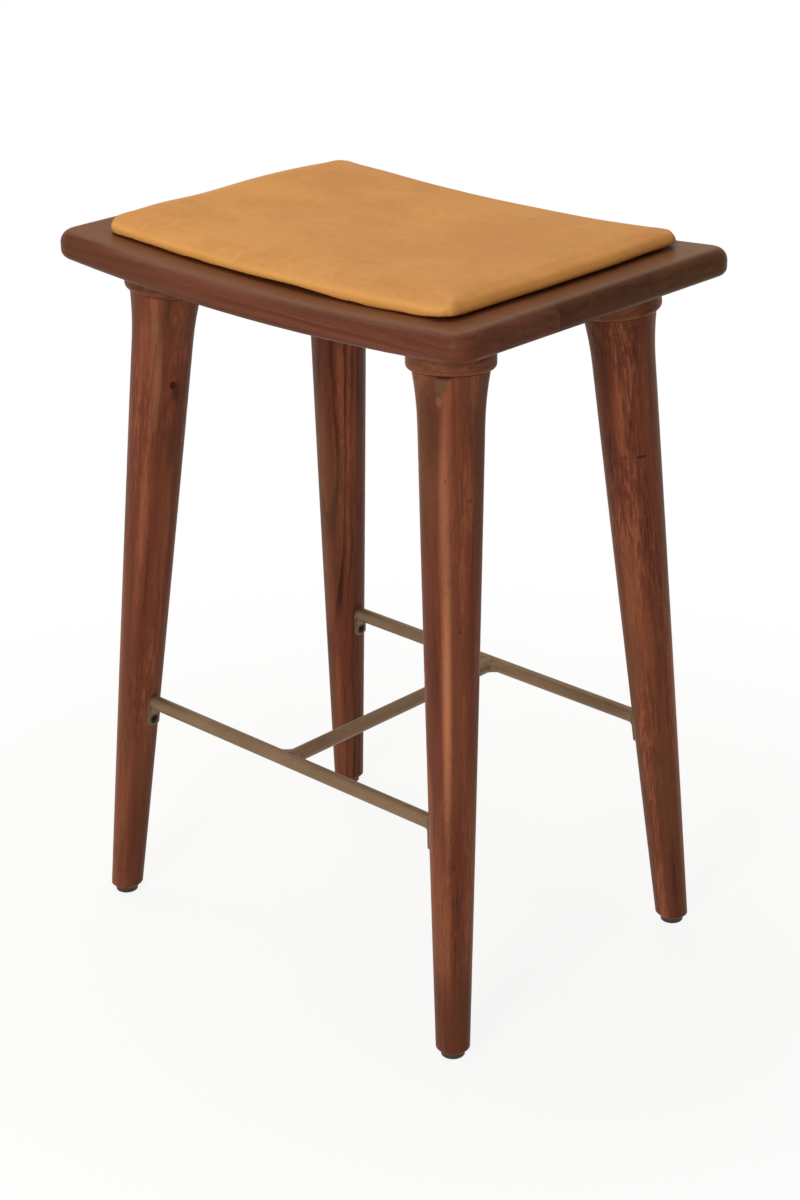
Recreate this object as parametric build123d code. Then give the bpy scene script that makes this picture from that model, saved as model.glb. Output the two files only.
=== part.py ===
from build123d import *

import os
from math import asin, degrees, sqrt

# Counter stool: a saddle-curved wooden seat with a leather pad, on four splayed turned legs
# that are tied by an H-shaped footrest of round metal rod.
# Millimetres. X runs along the seat's long side, Y along its short side, Z up, floor at zero.
# The front is the long side at negative Y.

# Seat, glued up from boards of equal width
seat_length = 485.0
seat_width = 352.0
seat_thickness = 24.0
seat_corner_radius = 22.0
seat_underside_height = 624.5
saddle_radius = 2678.5
seat_top_round = 11.0
seat_bottom_round = 7.0
seat_board_names = ("seat_front_board", "seat_middle_board", "seat_back_board")

# Leg positions, on the leg's axis: how far the joint with the block above the leg lies in from
# the seat's edge and below its underside, and how far the foot stands out from under that joint
head_inset_x = 72.3
head_inset_y = 68.5
head_drop = 21.2
lean_x = 44.5
lean_y = 48.2

# Leg turning
foot_radius = 14.8
neck_radius = 27.5
head_radius = 32.0
neck_drop = 46.0
shaft_swell = 0.4
head_bevel = 0.8
foot_chamfer = 4.3
tenon_radius = 15.0
tenon_length = 42.0
tenon_chamfer = 1.5
mortise_clearance = 0.1
mortise_end_gap = 0.8

# Block between a leg and the seat
block_radius = 37.0
block_rim_round = 5.0

# Glide under each foot, held by one nail
glide_radius = 10.5
glide_height = 4.0
glide_edge_round = 1.0
nail_head_radius = 3.2
nail_head_height = 0.9
nail_recess_radius = 3.6
nail_recess_depth = 1.6
nail_radius = 1.2
nail_length = 17.0
nail_tip = 2.5
nail_clearance = 0.05

# Footrest rods, and the hollow webs of weld in the corners where they meet
rod_radius = 6.7
rail_height = 207.0
cope_clearance = 0.3
weld_reach = 4.6
weld_half_height = 4.9
weld_edge_round = 0.8

# Tab at each end of a rail, let into the leg's inner side
tab_thickness = 3.5
tab_sink = 0.4
tab_drop = 23.0
tab_corner_radius = 3.0
tab_weld_radius = 5.0
tab_weld_half_width = 5.5
recess_clearance = 0.25

# Countersunk screw through each tab
screw_drop = 17.0
screw_head_radius = 4.5
screw_head_margin = 0.9
screw_radius = 2.1
screw_length = 30.0
screw_tip = 5.0
screw_clearance = 0.08
driver_slot_length = 4.6
driver_slot_width = 1.1
driver_slot_depth = 1.5

# Leather pad, smaller than the seat by a margin all round, and laid a little off its middle
pad_end_margin = 42.5
pad_side_margin = 26.0
pad_shift_x = -9.0
pad_shift_y = 7.5
pad_corner_radius = 13.0
pad_side_draw = 1.5
pad_end_draw = 2.5
pad_edge_thickness = 10.0
pad_crown = 2.5
pad_gap_middle = 3.4
pad_gap_end = 2.2
pad_top_round = 5.5
pad_bottom_round = 3.0
leather_thickness = 1.3
leather_fold = 28.0
pad_board_thickness = 3.0
dust_cloth_thickness = 0.5
dust_cloth_inset = 12.0

# Hook-and-loop patches between the pad and the seat's outer boards
patch_length = 25.0
patch_width = 60.0
patch_end_inset = 52.5
patch_joint_inset = 8.0
hook_thickness = 1.2
patch_glue = 0.2

# How far a cutting tool runs past what it cuts
overrun = 10.0

# Values worked out from those above
seat_top_height = seat_underside_height + seat_thickness
seat_board_width = seat_width / len(seat_board_names)
saddle_depth = saddle_radius - sqrt(saddle_radius**2 - (seat_length / 2) ** 2)
saddle_axis_height = seat_top_height + saddle_radius
pad_length = seat_length - 2 * pad_end_margin
pad_width = seat_width - 2 * pad_side_margin
pad_half = pad_length / 2
pad_drop = saddle_radius - sqrt(saddle_radius**2 - pad_half**2)
pad_rise = pad_drop - (pad_gap_middle - pad_gap_end)
pad_radius = (pad_half**2 + pad_rise**2) / (2 * pad_rise)
pad_base_height = seat_top_height + pad_gap_middle
pad_axis_height = pad_base_height + pad_radius
pad_sweep = 2 * degrees(asin((pad_half + abs(pad_shift_x) + overrun) / pad_radius))
patch_middle_x = pad_half - patch_end_inset - patch_length / 2
patch_middle_y = (seat_board_width + patch_width) / 2 + patch_joint_inset
head_height = seat_underside_height - head_drop
foot_x = seat_length / 2 - head_inset_x + lean_x
foot_y = seat_width / 2 - head_inset_y + lean_y
leg_length = sqrt(lean_x**2 + lean_y**2 + head_height**2)
neck_height = leg_length - neck_drop
rail_line = foot_y - lean_y * rail_height / head_height
screw_face = tab_thickness - screw_head_margin

# How far a round fill stands out of its corner, as a share of the corner's sides
hollow_share = 1 - sqrt(1 / 2)

on_floor = (Align.CENTER, Align.CENTER, Align.MIN)


def at_corners(piece):
    """A piece made for the back right corner, and its mirror images at the other three."""
    back_left = mirror(piece, about=Plane.YZ)
    return {
        "back_right": piece,
        "back_left": back_left,
        "front_right": mirror(piece, about=Plane.XZ),
        "front_left": mirror(back_left, about=Plane.XZ),
    }


def grouped(pieces):
    """Separate solids that are kept under one name."""
    return Compound([solid for piece in pieces.values() for solid in piece.solids()])


def make_leg_plane():
    """The back right leg's frame: origin on the floor, z up its axis, x towards the stool's middle."""
    foot = Vector(foot_x, foot_y, 0)
    axis = Vector(-lean_x, -lean_y, head_height).normalized()
    inward = Vector(-1, 0, 0)
    return Plane(origin=foot, x_dir=inward - axis * inward.dot(axis), z_dir=axis)


def shaft_radius(along):
    """The leg's radius below its neck, at a distance from the floor along its axis."""
    share = along / neck_height
    swell = 4 * shaft_swell * share * (1 - share)
    return foot_radius + (neck_radius - foot_radius) * share + swell


def make_tab_plane():
    """The back right tab's frame: origin on the rail's axis and the leg's flat, y up, z out of the leg."""
    along = rail_height * leg_length / head_height
    share = along / neck_height
    taper = (neck_radius - foot_radius + 4 * shaft_swell * (1 - 2 * share)) / neck_height
    up_the_flank = (leg_plane.z_dir + leg_plane.x_dir * taper).normalized()
    outwards = (leg_plane.x_dir - leg_plane.z_dir * taper).normalized()
    crest = leg_plane.origin + leg_plane.z_dir * along + leg_plane.x_dir * shaft_radius(along)
    rail_middle = Vector(0, rail_line, rail_height)
    reach = ((crest - rail_middle).dot(outwards) - tab_sink) / outwards.X
    origin = rail_middle + Vector(reach, 0, 0)
    return Plane(origin=origin, x_dir=up_the_flank.cross(outwards), z_dir=outwards)


def make_foot_middle():
    """The point on the floor under the middle of the back right leg's level foot."""
    share = glide_height / head_height
    return Pos(foot_x - lean_x * share, foot_y - lean_y * share, 0)


leg_plane = make_leg_plane()
tab_plane = make_tab_plane()
foot_middle = make_foot_middle()


def curved_layer(axis_height, lower_radius, upper_radius):
    """A layer between two round surfaces that share one axis along Y, high above the seat."""
    half = (seat_length + overrun) / 2
    low_end = axis_height - sqrt(lower_radius**2 - half**2)
    high_end = axis_height - sqrt(upper_radius**2 - half**2)
    lower = ThreePointArc((-half, low_end), (0, axis_height - lower_radius), (half, low_end))
    upper = ThreePointArc((half, high_end), (0, axis_height - upper_radius), (-half, high_end))
    rising = Line((half, low_end), (half, high_end))
    falling = Line((-half, high_end), (-half, low_end))
    outline = make_face(Curve() + [lower, rising, upper, falling])
    return extrude(Plane.XZ * outline, amount=(seat_width + overrun) / 2, both=True)


def saddle_layer(below, above):
    """A layer along the seat's top, from a depth below it to a height above it."""
    return curved_layer(saddle_axis_height, saddle_radius + below, saddle_radius - above)


def pad_layer(below, above):
    """A layer along the pad's underside, from a depth below it to a height above it."""
    return curved_layer(pad_axis_height, pad_radius + below, pad_radius - above)


def make_mortise():
    """A round hole on the leg's axis, from below the leg's shoulder to just past its tenon."""
    depth = tenon_length + mortise_end_gap + overrun
    hole = Cylinder(tenon_radius + mortise_clearance, depth, align=on_floor)
    return leg_plane * Pos(0, 0, leg_length - overrun) * hole


def make_seat():
    """The whole seat before it is divided into boards: a curved slab with rounded edges."""
    plan = RectangleRounded(seat_length, seat_width, seat_corner_radius)
    seat = extrude(plan, amount=seat_top_height + saddle_depth + overrun) & saddle_layer(seat_thickness, 0)
    seat = fillet(seat.faces().sort_by(Axis.Z)[0].edges(), seat_bottom_round)
    seat = fillet(seat.faces().sort_by(Axis.Z)[-1].edges(), seat_top_round)
    return seat - list(at_corners(make_mortise()).values())


def make_seat_boards():
    """Boards that run along X and are glued edge to edge."""
    seat = make_seat()
    height = seat_top_height + saddle_depth + overrun
    stock = Box(seat_length + overrun, seat_board_width, height, align=on_floor)
    boards = {}
    for number, name in enumerate(seat_board_names):
        middle = (number - (len(seat_board_names) - 1) / 2) * seat_board_width
        boards[name] = seat & Pos(0, middle, 0) * stock
    return boards


def make_block():
    """A thick disc square to its leg, with a rounded lower rim and a top cut to the seat's curve."""
    height = head_drop + saddle_depth + overrun
    disc = Cylinder(block_radius, height, align=on_floor)
    disc = fillet(disc.edges().sort_by(Axis.Z)[0], block_rim_round)
    disc = leg_plane * Pos(0, 0, leg_length) * disc
    return disc - saddle_layer(seat_thickness, 2 * overrun) - make_mortise()


def make_leg():
    """A turned leg: a swelling taper, a flared head and a tenon, with a level, chamfered foot."""
    middle = neck_height / 2
    shaft = ThreePointArc((foot_radius, 0), (shaft_radius(middle), middle), (neck_radius, neck_height))
    rim = (head_radius, leg_length - head_bevel)
    flare = TangentArc((neck_radius, neck_height), rim, tangent=shaft % 1)
    rest = Polyline(
        rim,
        (head_radius - head_bevel, leg_length),
        (tenon_radius, leg_length),
        (tenon_radius, leg_length + tenon_length - tenon_chamfer),
        (tenon_radius - tenon_chamfer, leg_length + tenon_length),
        (0, leg_length + tenon_length),
        (0, 0),
        (foot_radius, 0),
    )
    leg = leg_plane * revolve(Plane.YZ * make_face(Curve() + [shaft, flare, rest]), Axis.Z)
    small = foot_radius - foot_chamfer
    reach = head_height + tenon_length
    funnel = Cone(small, small + reach, reach, align=on_floor)
    leg = leg & foot_middle * Pos(0, 0, glide_height) * funnel
    recess = extrude(tab_outline(recess_clearance), amount=tab_thickness + overrun)
    return leg - tab_plane * recess - make_screw_hole() - make_nail_hole()


def tab_outline(margin):
    """A tab's face: round at the top about the rod's axis, with small corners at the bottom."""
    half = rod_radius + margin
    bottom = tab_drop + margin
    strip = Pos(0, -bottom / 2) * Rectangle(2 * half, bottom)
    strip = fillet(strip.vertices().group_by(Axis.Y)[0], tab_corner_radius + margin)
    return strip + Circle(half)


def make_tab():
    """A flat tab with a countersunk hole."""
    return tab_plane * extrude(tab_outline(0), amount=tab_thickness) - make_screw_hole()


def screw_blank(margin):
    """A countersunk screw's body in its tab's frame, grown by a margin all round but not at its face."""
    shank = screw_radius + margin
    point = screw_face - screw_length - 2 * margin
    profile = Polyline(
        (0, screw_face),
        (screw_head_radius + margin, screw_face),
        (shank, screw_face - screw_head_radius + screw_radius),
        (shank, point + screw_tip),
        (0, point),
        close=True,
    )
    return Pos(0, -screw_drop, 0) * revolve(Plane.YZ * make_face(profile), Axis.Z)


def make_screw_hole():
    """The countersunk hole through a tab and on into the leg, open above the screw's head."""
    mouth = Cylinder(screw_head_radius + screw_clearance, overrun, align=on_floor)
    hole = screw_blank(screw_clearance) + Pos(0, -screw_drop, screw_face) * mouth
    return tab_plane * hole


def make_screw():
    """A countersunk wood screw with a cross socket."""
    slot = Box(driver_slot_length, driver_slot_width, 2 * driver_slot_depth)
    cross = Pos(0, -screw_drop, screw_face) * (slot + Rot(0, 0, 90) * slot)
    return tab_plane * (screw_blank(0) - cross)


def nail_blank(radius, head, length):
    """A nail that points up, with its head against the roof of the glide's recess."""
    face = nail_recess_depth - nail_head_height
    profile = Polyline(
        (0, face),
        (head, face),
        (head, nail_recess_depth),
        (radius, nail_recess_depth),
        (radius, length - nail_tip),
        (0, length),
        close=True,
    )
    return foot_middle * revolve(Plane.YZ * make_face(profile), Axis.Z)


def make_nail_hole():
    """The hole for a nail, as wide at its mouth as the glide's recess."""
    return nail_blank(nail_radius + nail_clearance, nail_recess_radius, nail_length + nail_clearance)


def make_nail():
    """A flat-headed nail."""
    return nail_blank(nail_radius, nail_head_radius, nail_length)


def make_glide():
    """A disc on the floor with a rounded lower edge and a sunk hole for its nail."""
    disc = Cylinder(glide_radius, glide_height, align=on_floor)
    disc = fillet(disc.edges().sort_by(Axis.Z)[0], glide_edge_round)
    disc = disc - Cylinder(nail_recess_radius, nail_recess_depth, align=on_floor)
    return foot_middle * disc - make_nail_hole()


def rail_bar(radius):
    """A full-length bar on the back rail's axis."""
    return Pos(0, rail_line, rail_height) * Rot(0, 90, 0) * Cylinder(radius, 2 * foot_x)


def cross_bar():
    """A bar on the crossbar's axis, from one rail's axis to the other's."""
    return Pos(0, 0, rail_height) * Rot(90, 0, 0) * Cylinder(rod_radius, 2 * rail_line)


def make_rail():
    """The back rail between its two legs, cut at both ends to lie flat against its tabs."""
    tab_face = tab_plane.offset(tab_thickness)
    rail = split(rail_bar(rod_radius), bisect_by=tab_face, keep=Keep.TOP)
    return split(mirror(rail, about=Plane.YZ), bisect_by=tab_face, keep=Keep.TOP)


def make_crossbar():
    """The bar between the two rails, coped at both ends to fit round them."""
    rail = rail_bar(rod_radius + cope_clearance)
    return cross_bar() - rail - mirror(rail, about=Plane.XZ)


def make_crossbar_weld():
    """A hollow web of weld in the corner between the crossbar and the back rail."""
    root = sqrt(rod_radius**2 - weld_half_height**2)
    middle = rod_radius + weld_reach * hollow_share
    tip = 2 * rod_radius + weld_reach - root
    hollow = ThreePointArc((tip, -root), (middle, -middle), (root, -tip))
    rest = Polyline((root, -tip), (0, -tip), (0, 0), (tip, 0), (tip, -root))
    web = extrude(make_face(Curve() + [hollow, rest]), amount=weld_half_height, both=True)
    rims = web.edges().filter_by(GeomType.CIRCLE)
    web = Pos(0, rail_line, rail_height) * fillet(rims, weld_edge_round)
    return web - rail_bar(rod_radius) - cross_bar()


def make_tab_weld():
    """A hollow flare of weld round the underside of the rail's end, against its tab."""
    flare = rod_radius + tab_weld_radius
    foot = (tab_thickness + flare * tab_plane.z_dir.Z) / -tab_plane.z_dir.X
    top = tab_thickness + tab_weld_radius
    middle = (rod_radius + tab_weld_radius * hollow_share, foot + (top - foot) * hollow_share)
    hollow = ThreePointArc((flare, foot), middle, (rod_radius, top))
    rest = Polyline((rod_radius, top), (0, top), (0, 0), (flare, 0), (flare, foot))
    ring = revolve(Plane.XZ * make_face(Curve() + [hollow, rest]), Axis.Z)
    slab = Box(flare, 2 * tab_weld_half_width, top, align=(Align.MIN, Align.CENTER, Align.MIN))
    along_rail = Plane(origin=tab_plane.origin, x_dir=(0, 0, -1), z_dir=(-1, 0, 0))
    tab_face = tab_plane.offset(tab_thickness)
    return split(along_rail * (ring & slab), bisect_by=tab_face, keep=Keep.TOP) - rail_bar(rod_radius)


def pad_outline(inset):
    """The pad's plan, with its sides and ends drawn in a little between the corners."""
    half_x = pad_half - inset
    half_y = pad_width / 2 - inset
    drawn_x = half_x - pad_end_draw
    drawn_y = half_y - pad_side_draw
    sides = [
        ThreePointArc((-half_x, -half_y), (0, -drawn_y), (half_x, -half_y)),
        ThreePointArc((half_x, -half_y), (drawn_x, 0), (half_x, half_y)),
        ThreePointArc((half_x, half_y), (0, drawn_y), (-half_x, half_y)),
        ThreePointArc((-half_x, half_y), (-drawn_x, 0), (-half_x, -half_y)),
    ]
    outline = make_face(Curve() + sides)
    return fillet(outline.vertices(), pad_corner_radius - inset)


def make_pad_body(inset):
    """The pad's crowned form with soft edges, bent to the seat's curve, drawn in by an inset."""
    half = pad_width / 2
    low = inset - pad_radius
    edge = pad_edge_thickness - inset - pad_radius
    crown = ThreePointArc((half, edge), (0, edge + pad_crown), (-half, edge))
    rest = Polyline((-half, edge), (-half, low), (half, low), (half, edge))
    section = Plane.YZ * Pos(pad_shift_y, 0) * make_face(Curve() + [crown, rest])
    band = revolve(section, Axis.Y, revolution_arc=pad_sweep)
    band = Pos(0, 0, pad_axis_height) * Rot(0, -pad_sweep / 2, 0) * band
    height = pad_gap_middle + pad_edge_thickness + pad_crown + saddle_depth + overrun
    plan = Pos(pad_shift_x, pad_shift_y, seat_top_height) * pad_outline(inset)
    body = extrude(plan, amount=height) & band
    body = fillet(body.faces().sort_by(Axis.Z)[0].edges(), pad_bottom_round - inset)
    return fillet(body.faces().sort_by(Axis.Z)[-1].edges(), pad_top_round - inset)


def under_pad(inset, below, above):
    """A rounded sheet along the pad's underside, inside its edge by an inset."""
    plan = RectangleRounded(pad_length - 2 * inset, pad_width - 2 * inset, pad_corner_radius)
    height = pad_base_height + pad_edge_thickness + saddle_depth
    column = extrude(Pos(pad_shift_x, pad_shift_y, 0) * plan, amount=height)
    return column & pad_layer(below, above)


def make_pad():
    """The pad's layers: a leather cover folded under its edge, foam, a board and a dust cloth."""
    inner = make_pad_body(leather_thickness)
    window = under_pad(leather_fold, leather_thickness, 2 * leather_thickness)
    board_layer = pad_layer(0, leather_thickness + pad_board_thickness)
    return {
        "pad_leather_cover": make_pad_body(0) - inner - window,
        "pad_foam": inner - board_layer,
        "pad_board": inner & board_layer,
        "pad_dust_cloth": under_pad(dust_cloth_inset, dust_cloth_thickness, 0),
    }


def make_patches():
    """Hook patches on the seat, and loop patches that fill the rest of the gap under the pad."""
    height = seat_top_height + saddle_depth + overrun
    stock = Box(patch_length, patch_width, height, align=on_floor)
    columns = at_corners(Pos(patch_middle_x, patch_middle_y, 0) * stock)
    place = Pos(pad_shift_x, 0, 0)
    hook_top = patch_glue + hook_thickness
    hook_layer = saddle_layer(-patch_glue, hook_top)
    loop_layer = saddle_layer(-hook_top, overrun) - pad_layer(dust_cloth_thickness, 2 * overrun)
    return {
        "pad_hook_patches": grouped({key: place * column & hook_layer for key, column in columns.items()}),
        "pad_loop_patches": grouped({key: place * column & loop_layer for key, column in columns.items()}),
    }


corner_parts = {
    "leg": make_leg(),
    "leg_block": make_block(),
    "foot_glide": make_glide(),
    "rail_tab": make_tab(),
}

parts = {
    **make_seat_boards(),
    **make_pad(),
    **make_patches(),
    "footrail_back": make_rail(),
    "footrail_front": mirror(make_rail(), about=Plane.XZ),
    "footrest_crossbar": make_crossbar(),
    "crossbar_welds": grouped(at_corners(make_crossbar_weld())),
    "rail_tab_welds": grouped(at_corners(make_tab_weld())),
    "tab_screws": grouped(at_corners(make_screw())),
    "glide_nails": grouped(at_corners(make_nail())),
}
for name, piece in corner_parts.items():
    for corner, copy in at_corners(piece).items():
        parts[f"{name}_{corner}"] = copy

os.makedirs("parts", exist_ok=True)
for name, shape in parts.items():
    export_step(shape, f"parts/{name}.step")
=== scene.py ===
import math

import bmesh
import bpy
from mathutils import Euler, Matrix, Vector, noise
from mathutils.bvhtree import BVHTree


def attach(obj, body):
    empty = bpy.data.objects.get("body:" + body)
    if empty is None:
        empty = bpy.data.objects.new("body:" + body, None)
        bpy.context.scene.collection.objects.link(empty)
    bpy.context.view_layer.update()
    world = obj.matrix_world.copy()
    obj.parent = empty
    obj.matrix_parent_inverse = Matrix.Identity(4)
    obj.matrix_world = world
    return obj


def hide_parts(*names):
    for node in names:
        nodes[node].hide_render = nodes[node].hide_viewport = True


# A counter stool: a saddle-curved seat of three boards, a tan leather pad, four splayed turned
# legs and a footrest of round bronze-brown rod. Metres, X along the seat, front at negative Y.

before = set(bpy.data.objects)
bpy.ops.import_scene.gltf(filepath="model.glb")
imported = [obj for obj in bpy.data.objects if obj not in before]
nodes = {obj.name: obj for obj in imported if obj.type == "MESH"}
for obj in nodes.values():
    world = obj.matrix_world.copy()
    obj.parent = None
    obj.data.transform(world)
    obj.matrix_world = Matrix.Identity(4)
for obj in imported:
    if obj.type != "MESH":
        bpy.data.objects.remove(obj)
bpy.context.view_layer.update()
MM = 0.001
WHITE = (1.0, 1.0, 1.0, 1.0)

# Leg axes on the back right side, at the floor and at the head, and how far up them the blocks lie
FOOT = Vector((0.2147, 0.1557, 0.0))
HEAD = Vector((0.1702, 0.1075, 0.6033))
BLOCK_RISE = 0.62

# The seat: its middle, its top's lowest level and curve, and the joint lines of its three boards
SEAT_MIDDLE = 0.636
SEAT_TOP = 0.6485
SEAT_RADIUS = 2.6785
SEAT_WIDTH = 0.352
BOARD_JOINT = SEAT_WIDTH / 6

# The four corners, as signs along X and Y, from the back right one anticlockwise, seen from above
CORNERS = ((1, 1), (-1, 1), (-1, -1), (1, -1))

# The pad: where it lies, its curve along X, its half size, its corners' radii, and how far its ends
# and its long sides are drawn in
PAD_PLACE = Vector((-0.0068, 0.0066))
PAD_BASE = 0.6519
PAD_RADIUS = 3.1888
PAD_HALF = Vector((0.2013, 0.1511))
PAD_CORNERS = dict(zip(CORNERS, (0.018, 0.015, 0.014, 0.013)))
LEAST_CORNER = 0.0012
PAD_DRAWN_IN = Vector((0.0025, 0.0015))

# How far each corner of the pad lies off its rectangle, and how far its right end bulges
PULLS = ((0.0036, 0.0), (-0.001, 0.0), (0.0026, 0.0004), (0.0068, -0.0018))
PAD_BULGE = 0.0065

# The pad's rim, in mm inwards from its outline and up from its base: a soft roll, and a firmer
# fold along the front
SOFT_RIM = ((8.0, -0.8), (4.5, -1.5), (2.2, -1.6), (0.9, -1.1), (0.2, -0.2), (0.0, 1.2),
            (0.05, 2.9), (0.25, 4.9), (0.8, 6.9), (2.0, 8.9), (4.2, 10.6), (8.0, 11.6))
FIRM_RIM = ((8.0, -0.8), (4.0, -1.4), (1.6, -1.5), (0.5, -1.1), (0.05, -0.2), (0.0, 1.2),
            (0.0, 2.8), (0.05, 4.2), (0.5, 5.3), (2.2, 6.6), (5.5, 8.6), (10.5, 10.8))

# The pad's top: its height, its crown, and how far in the crown rises
TOP_HEIGHT = 0.012
PAD_CROWN = 0.0012
CROWN_REACH = 0.075

# Its mesh: steps round a corner, along an end and along a side, rings under it and over it with the
# first one's inset and the distance between them, and the size of the even cells made from them
CORNER_STEPS = 8
END_STEPS = 44
SIDE_STEPS = 60
FLAT_RINGS = 17
UNDER_START, UNDER_STEP = 0.002, 0.008
TOP_START, TOP_STEP = 0.0175, 0.0077
EVEN_CELL = 0.0036

# The cover as cloth that swells over its filling: the most that it moves, the height over its
# underside to which the board holds it, and the height over which that hold fades
SWELL_MOST = 0.0011
HELD_BELOW = 0.0025
HELD_FADE = 0.003
SWELL_FRAMES = 20
SWELL_CLOTH = dict(
    vertex_group_mass="held", quality=6, use_pressure=True, uniform_pressure_force=4.0,
    tension_stiffness=12.0, compression_stiffness=12.0, bending_stiffness=1.2,
)

# The pad's top is puffed near the front left corner and towards the back of the left end, given as
# height, then middle and width along X and Y, and droops at the back left corner
PAD_HILLS = ((0.0026, (-0.2, 0.05), (-0.1, 0.042)), (0.0044, (-0.2, 0.06), (0.035, 0.1)))
DROOP_DEPTH, DROOP_MIDDLE, DROOP_WIDTH = 0.0024, Vector((-0.19, 0.15)), 0.04
TOP_FADE = 0.009

# Its lower edge is lifted at the right end and along the front, given as height and where the lift
# starts and is full, and the front's waves as height, middle and width along X
END_LIFT, END_START, END_FULL = 0.002, 0.165, 0.2
FRONT_LIFT, FRONT_START, FRONT_FULL = 0.0006, 0.128, 0.149
FRONT_WAVES = ((0.0012, 0.02, 0.04), (-0.0012, 0.11, 0.05))

# Faint uneven waves in its top, its sides and the dust cloth, as height, how closely they follow
# each other, and a place in the noise. The corners' tuck, as depth and width in radians
TOP_WAVES = (0.0007, 11.0, 3.7)
SIDE_WAVES = (0.0009, 16.0, 9.1)
CLOTH_WAVES = (0.00008, 30.0, 1.3)
TUCK_DEPTH, TUCK_WIDTH = 0.0009, 0.16

# The dust cloth under the pad, its two faces' depths under the pad's base, and its hem
CLOTH_SIZE = Vector((0.376, 0.276))
CLOTH_PLACE = Vector((-0.009, 0.0075))
CLOTH_STEPS = (94, 138)
CLOTH_UNDER, CLOTH_OVER = 0.0003, 0.00005
HEM_DEPTH = 0.00014
HEM_EDGE = (0.0065, 0.0085)

# The hook-and-loop patches, hooks on the seat and loops under the pad
PATCH_SIZE = Vector((0.025, 0.060))
PATCH_MIDDLE = Vector((0.135, 0.09667))
PATCH_STEPS = (5, 12)
HOOK_THICKNESS = 0.0006
LOOP_UNDER, LOOP_OVER = 0.0011, 0.0005


def shade(red, green, blue):
    """A colour as it looks on a screen, 0 to 255, turned into the light values that nodes take."""
    values = [channel / 255 for channel in (red, green, blue)]
    return (*[v / 12.92 if v <= 0.04045 else ((v + 0.055) / 1.055) ** 2.4 for v in values], 1.0)


class NodeBench:
    """Adds nodes to one tree and joins them. A value may also be another node's socket."""

    def __init__(self, tree):
        self.tree = tree

    def put(self, socket, value):
        if isinstance(value, bpy.types.NodeSocket):
            self.tree.links.new(value, socket)
        else:
            socket.default_value = value

    def add(self, kind, values=None, **settings):
        node = self.tree.nodes.new(kind)
        for name, setting in settings.items():
            setattr(node, name, setting)
        for socket, value in (values or {}).items():
            self.put(node.inputs[socket], value)
        return node

    def sum(self, operation, *values):
        node = self.add("ShaderNodeMath", operation=operation)
        for socket, value in zip(node.inputs, values):
            self.put(socket, value)
        return node.outputs[0]

    def times(self, one, other):
        return self.sum("MULTIPLY", one, other)

    def centred(self, value):
        """A value between 0 and 1, moved to lie round zero."""
        return self.sum("SUBTRACT", value, 0.5)

    def vector(self, operation, *values):
        node = self.add("ShaderNodeVectorMath", operation=operation)
        for socket, value in zip(node.inputs, values):
            self.put(socket, value)
        return node.outputs["Value" if operation in ("LENGTH", "DOT_PRODUCT") else "Vector"]

    def scaled(self, vector, scale):
        values = {"Vector": vector, "Scale": scale}
        return self.add("ShaderNodeVectorMath", values, operation="SCALE").outputs["Vector"]

    def split(self, vector):
        return self.add("ShaderNodeSeparateXYZ", {"Vector": vector}).outputs

    def coordinate(self, name):
        """The place or the way it faces, in the piece's own axes."""
        return self.add("ShaderNodeTexCoord").outputs[name]

    def noise(self, place, stretch, detail=2.0, rough=0.5):
        """Cloudy noise whose spots are 1 / stretch long, in the place's own units."""
        place = self.vector("MULTIPLY", place, stretch)
        values = {"Vector": place, "Scale": 1.0, "Detail": detail, "Roughness": rough}
        return self.add("ShaderNodeTexNoise", values)

    def step(self, value, low, high, out_low=0.0, out_high=1.0):
        """A soft step of a value from one level to another."""
        node = self.add("ShaderNodeMapRange", interpolation_type="SMOOTHSTEP")
        for socket, setting in zip(node.inputs, (value, low, high, out_low, out_high)):
            self.put(socket, setting)
        return node.outputs[0]

    def paint(self, share, under, over):
        """One colour laid over another."""
        node = self.add("ShaderNodeMix", data_type="RGBA")
        for index, value in ((0, share), (6, under), (7, over)):
            self.put(node.inputs[index], value)
        return node.outputs[2]


def node_group(name, inputs, outputs):
    """An empty shader group with named sockets: its bench, its inputs and its output node."""
    tree = bpy.data.node_groups.new(name, "ShaderNodeTree")
    kinds = {float: "NodeSocketFloat", tuple: "NodeSocketColor", Vector: "NodeSocketVector"}
    for socket_name, value in inputs.items():
        kind = kinds[type(value)]
        socket = tree.interface.new_socket(socket_name, in_out="INPUT", socket_type=kind)
        socket.default_value = value
    for socket_name, kind in outputs.items():
        tree.interface.new_socket(socket_name, in_out="OUTPUT", socket_type=kinds[kind])
    bench = NodeBench(tree)
    return bench, bench.add("NodeGroupInput").outputs, bench.add("NodeGroupOutput")


# The wood's figure: how often each kind repeats in a millimetre, across the grain and along it, and
# the detail and roughness of its noise
FIGURE = {
    "wander": (0.011, 0.0034, 2.0, 0.5), "loose": (0.05, 0.006, 2.0, 0.5),
    "band": (0.05, 0.0022, 2.0, 0.5), "cloud": (0.075, 0.016, 3.0, 0.6),
    "fibre": (0.9, 0.03, 3.0, 0.6), "pore": (1.9, 0.22, 1.0, 0.5),
    "open grain": (0.03, 0.007, 1.0, 0.5), "dash": (0.62, 0.055, 2.0, 0.7),
    "drift": (0.035, 0.006, 2.0, 0.5),
}
SEED_STRIDE = Vector((37.0, 53.0, 71.0))
LATE_START, LATE_END = 0.4, 0.94
MIDDLE_TONE = 0.6
FIBRE_TONE = 0.24
CAST_SHARE = 0.55
PORE_SHARE = 0.3
WOOD_ROUGH, FIBRE_ROUGH, PORE_ROUGH = 0.38, 0.12, 0.12


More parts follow.
